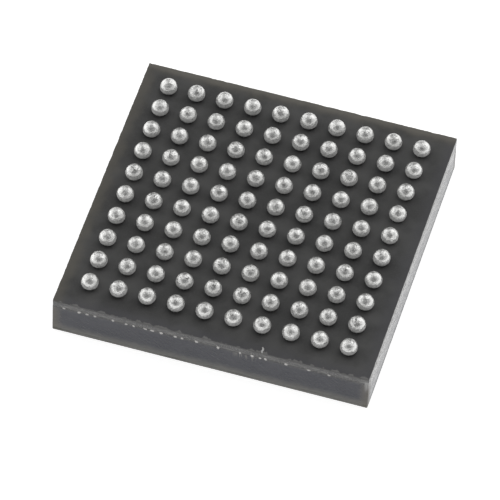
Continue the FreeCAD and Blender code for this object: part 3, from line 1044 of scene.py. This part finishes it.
@dataclass
class CutTails:
    """The ends of the plating tails, smeared a little along the sawn sides by the blade.

    The profile lists how wide a smear is, as a share of its full width, at each depth from the side.
    """

    places: Sequence[float] = (-5.09, -4.56, -4.28, -4.01, -3.38, -2.92, -2.66, -2.25, -2.01, -1.70, -1.21,
                               -0.97, -0.47, 0.28, 1.04, 1.46, 1.73, 1.92, 2.63, 3.42, 4.12)
    height: float = 1.24
    width: float = 0.056
    tallness: float = 0.042
    widths: Span = (0.6, 1.35)
    tallnesses: Span = (0.7, 1.7)
    sinking: Span = (0.0, 0.5)
    tilts: Span = (-0.6, 0.6)
    raggedness: float = 0.28
    ragged_scale: float = 1.4
    ragged_change: float = 7.0
    profile: Sequence[Span] = ((1.0, -0.012), (0.96, -0.0045), (0.75, -0.002), (0.4, -0.0008))
    segments: int = 20
    seed: int = 5

    def build(self, paints: Paints) -> None:
        """Build one piece of smears for each sawn side.

        Args:
            paints: the materials made so far.
        """
        chance = random.Random(self.seed)
        for side, side_name in enumerate(SIDES):
            piece = Piece(f"cut_tails_{side_name}")
            turn = Matrix.Rotation(math.pi / 2 * side, 4, "Z")
            for along in self.places:
                self.smear(piece, turn, along, chance)
            piece.build(paints, Finish.CUT_COPPER, crease=80.0)

    def smear(self, piece: Piece, turn: Matrix, along: float, chance: random.Random) -> None:
        """Add one lens-shaped smear to a piece.

        Args:
            piece: the side's mesh.
            turn: rotation from the right side to this one.
            along: the tail's place along the side.
            chance: the random numbers of this build.
        """
        wide = self.width * chance.uniform(*self.widths)
        tall = self.tallness * chance.uniform(*self.tallnesses)
        height = self.height - tall * chance.uniform(*self.sinking)
        tilt = chance.uniform(*self.tilts)
        loops = []
        for share, depth in self.profile:
            points = []
            for i in range(self.segments):
                a = math.tau * i / self.segments
                spot = Vector((math.cos(a) * self.ragged_scale, math.sin(a) * self.ragged_scale,
                               along * self.ragged_change))
                ragged = share * (1 + self.raggedness * noise.noise(spot))
                u, v = wide * ragged * math.cos(a), tall * ragged * math.sin(a)
                points.append(turn @ Vector((HALF + depth, along + u * math.cos(tilt) - v * math.sin(tilt),
                                             height + u * math.sin(tilt) + v * math.cos(tilt))))
            loops.append(piece.ring(points))
        piece.shell(loops)


@dataclass
class Burr:
    """A curled sliver that the saw left standing at the front edge of the ball side."""

    route: Sequence[tuple[float, float, float]] = (
        (1.77, -5.462, 1.44), (1.79, -5.458, 1.50), (1.765, -5.42, 1.52),
        (1.80, -5.36, 1.52), (1.78, -5.30, 1.53), (1.73, -5.25, 1.52))
    widths: Sequence[float] = (0.020, 0.036, 0.030, 0.042, 0.038, 0.014)
    thickness: float = 0.35
    segments: int = 8
    smoothing: int = 2

    def build(self, paints: Paints) -> None:
        """Loft the sliver along its route.

        Args:
            paints: the materials made so far.
        """
        piece = Piece("front_burr")
        loops = []
        for i, (point, width) in enumerate(zip(self.route, self.widths)):
            before, after = self.route[max(i - 1, 0)], self.route[min(i + 1, len(self.route) - 1)]
            run = (Vector(after) - Vector(before)).normalized()
            side = run.cross(Vector((0, 0, 1))).normalized()
            lift = side.cross(run)
            loops.append(piece.ring(Vector(point) + side * (width * math.cos(a))
                                    + lift * (width * self.thickness * math.sin(a))
                                    for a in (math.tau * k / self.segments for k in range(self.segments))))
        piece.shell(loops)
        thing = piece.build(paints, Finish.BURR, crease=80.0)
        thing.modifiers.new("smooth", "SUBSURF").render_levels = self.smoothing


class Inside:
    """The sealed pieces, which stay as they were packed and only get their finishes."""

    finishes = {
        "die": Finish.SILICON, "die_attach": Finish.ADHESIVE, "die_bond_pads": Finish.BOND_PAD,
        "via_barrels": Finish.COPPER, "via_plugs": Finish.VIA_RESIN, "ball_pads": Finish.COPPER,
    }

    def build(self, paints: Paints) -> None:
        """Give every carried-over node its material.

        Args:
            paints: the materials made so far.
        """
        chosen = dict(self.finishes)
        for side in SIDES:
            chosen[f"bond_wires_{side}"] = Finish.WIRE
            chosen[f"die_side_copper_{side}"] = Finish.COPPER
        for node, finish in chosen.items():
            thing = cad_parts[node]
            thing.data.materials.clear()
            thing.data.materials.append(paints.of(finish))
            log.info("%s: CAD node in %s", node, finish.slot)


# The studio

@dataclass(frozen=True)
class SkyPatch:
    """A round soft patch of the sky that is lighter or darker than the rest.

    Its middle is a direction given by azimuth, from the back towards the right, and elevation. All its
    angles are in degrees.
    """

    azimuth: float
    elevation: float
    inner: float
    outer: float
    level: float

    @property
    def direction(self) -> tuple[float, float, float]:
        """The patch's middle as a unit vector."""
        a, e = math.radians(self.azimuth), math.radians(self.elevation)
        return math.cos(e) * math.sin(a), math.cos(e) * math.cos(a), math.sin(e)


@dataclass
class Studio:
    """Floor, sky and lamp around the package."""

    floor_half: float = 900.0
    floor_gap: float = 0.01
    floor_grey: float = 0.62
    floor_glow: float = 0.82
    sky_level: float = 0.52
    horizon_level: float = 0.50
    horizon_height: Span = (6.0, 24.0)
    patches: Sequence[SkyPatch] = (
        SkyPatch(azimuth=30.0, elevation=41.0, inner=13.0, outer=42.0, level=0.72),
        SkyPatch(azimuth=-72.0, elevation=27.0, inner=13.0, outer=47.0, level=0.54),
        SkyPatch(azimuth=-15.0, elevation=4.0, inner=12.0, outer=38.0, level=-0.72),
        SkyPatch(azimuth=165.0, elevation=47.0, inner=16.0, outer=50.0, level=-0.38),
    )
    lamp_place: tuple[float, float, float] = (155.0, 292.0, 259.0)
    lamp_side: float = 220.0
    lamp_watts: float = 0.018

    def sky(self) -> None:
        """Build a grey sky, lighter at the horizon, with its light and dark patches, that looks white."""
        world = bpy.data.worlds.new("studio")
        bpy.context.scene.world = world
        world.use_nodes = True
        t = Tree(world.node_tree)
        direction = t.node("TexCoord").outputs["Generated"]
        height = t.node("SeparateXYZ", {0: direction}).outputs[2]
        low, high = (math.sin(math.radians(angle)) for angle in self.horizon_height)
        level = t.math("MULTIPLY_ADD", t.step(height, high, low), self.horizon_level, self.sky_level)
        for patch in self.patches:
            facing = t.node("VectorMath", {0: direction, 1: patch.direction}, operation="DOT_PRODUCT")
            outer, inner = (math.cos(math.radians(angle)) for angle in (patch.outer, patch.inner))
            share = t.step(facing.outputs["Value"], outer, inner)
            level = t.math("MULTIPLY_ADD", share, patch.level, level)
        lit = t.node("Background", {"Color": WHITE, "Strength": level})
        white = t.node("Background", {"Color": WHITE, "Strength": 1.0})
        seen = t.node("LightPath").outputs["Is Camera Ray"]
        both = t.node("MixShader", {0: seen, 1: lit.outputs[0], 2: white.outputs[0]})
        t.node("OutputWorld", {"Surface": both.outputs[0]})

    def floor(self) -> None:
        """Lay a white floor that the package rests on and that keeps its shadow."""
        bm = bmesh.new()
        bmesh.ops.create_grid(bm, x_segments=8, y_segments=8, size=self.floor_half * MM)
        mesh = bpy.data.meshes.new("floor")
        bm.to_mesh(mesh)
        bm.free()
        thing = bpy.data.objects.new("floor", mesh)
        thing.location.z = -self.floor_gap * MM
        bpy.context.scene.collection.objects.link(thing)
        s = Surface("floor_paper")
        path = s.node("LightPath").outputs
        seen = s.math("MAXIMUM", path["Is Camera Ray"], path["Is Glossy Ray"])
        seen = s.math("MAXIMUM", seen, path["Is Transmission Ray"])
        glow = s.node("Emission", {"Color": WHITE, "Strength": s.times(seen, self.floor_glow)})
        paper = s.node("BsdfDiffuse", {"Color": (self.floor_grey, self.floor_grey, self.floor_grey, 1.0)})
        both = s.node("AddShader", {0: glow.outputs[0], 1: paper.outputs[0]})
        s.node("OutputMaterial", {"Surface": both.outputs[0]})
        mesh.materials.append(s.material)

    def lamp(self) -> None:
        """Hang a square soft lamp that faces the package."""
        light = bpy.data.lights.new("back_softbox", "AREA")
        light.shape = "SQUARE"
        light.size = self.lamp_side * MM
        light.energy = self.lamp_watts
        thing = bpy.data.objects.new("back_softbox", light)
        place = Vector(self.lamp_place)
        thing.location = place * MM
        thing.rotation_mode = "QUATERNION"
        thing.rotation_quaternion = (-place).to_track_quat("-Z", "Y")
        thing.visible_camera = False
        bpy.context.scene.collection.objects.link(thing)

    def build(self) -> None:
        """Build the studio."""
        self.sky()
        self.floor()
        self.lamp()
        log.info("studio built")


@dataclass
class PhotoCamera:
    """The camera that was fitted to the photograph's hundred ball centres."""

    place: tuple[float, float, float] = (34.2491, -133.8338, 169.7695)
    right: tuple[float, float, float] = (0.95813482, 0.28473986, 0.03001438)
    up: tuple[float, float, float] = (-0.23929307, 0.73879932, 0.63001141)
    forward: tuple[float, float, float] = (-0.15721476, 0.61081811, -0.77600564)
    focal_pixels: float = 6457.685
    image_pixels: float = 500.0
    sensor: float = 36.0
    clip_metres: Span = (0.01, 10.0)

    def build(self) -> None:
        """Make the camera and hand it to the scene."""
        data = bpy.data.cameras.new("photo_camera")
        data.sensor_width = self.sensor
        data.lens = self.focal_pixels / self.image_pixels * self.sensor
        data.clip_start, data.clip_end = self.clip_metres
        thing = bpy.data.objects.new("photo_camera", data)
        axes = Matrix((self.right, self.up, tuple(-value for value in self.forward))).transposed()
        thing.matrix_world = Matrix.Translation(Vector(self.place) * MM) @ axes.to_4x4()
        bpy.context.scene.collection.objects.link(thing)
        bpy.context.scene.camera = thing
        log.info("camera with a %.1f mm lens", data.lens)


def layers() -> list[SawnLayer]:
    """List the four sawn layers.

    Returns:
        The layers, from the moulded face up.
    """
    foot, rise, steps = 0.025, 1.165, 14
    cap = [(0.0, 0.010, 0.0, 0.0), (0.004, 0.006, 0.003, 0.0), (foot, 0.004, 0.005, 0.0)]
    cap += [(foot + rise * i / steps, 0.004, 0.005, 0.0) for i in range(1, steps + 1)]
    cap += [(MOULD_TOP, 0.004, 0.006, 0.0)]
    edge = [(MOULD_TOP, 0.004, 0.010, 0.0), (1.225, 0.006, 0.008, 0.0), (CORE_BOTTOM, 0.004, 0.010, 0.0)]
    thickness, steps = 0.20, 6
    core = [(CORE_BOTTOM + thickness * i / steps, 0.003, 0.014, 0.0) for i in range(steps + 1)]
    mask = [(CORE_TOP, 0.003, 0.010, 0.0), (PAD_FACE, 0.003, 0.012, 0.02), (1.488, 0.004, 0.014, 0.07),
            (MASK_FACE, 0.004, 0.011, 0.19), (MASK_FACE, 0.018, 0.011, 0.19)]
    return [
        MouldCap("mould_cap", Finish.MOULD, cap, seed=3.0),
        SawnLayer("die_side_solder_mask", Finish.MASK_EDGE, edge, seed=9.0),
        SawnLayer("substrate_core", Finish.LAMINATE, core, seed=17.0, scale=9.0),
        BallSideMask("ball_side_solder_mask", Finish.SOLDER_MASK, mask, Outline(steps=260),
                     seed=27.0, scale=4.0),
    ]


def main() -> None:
    """Build the package, the studio and the camera."""
    logging.basicConfig(level=logging.INFO, format="%(name)s: %(message)s")
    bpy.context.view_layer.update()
    paints = Paints()
    for assembly in (*layers(), SolderBalls(), CutTails(), Burr(), Inside()):
        assembly.build(paints)
    Studio().build()
    PhotoCamera().build()
    bpy.context.scene.view_settings.view_transform = "Standard"


if __name__ == "__main__":
    main()
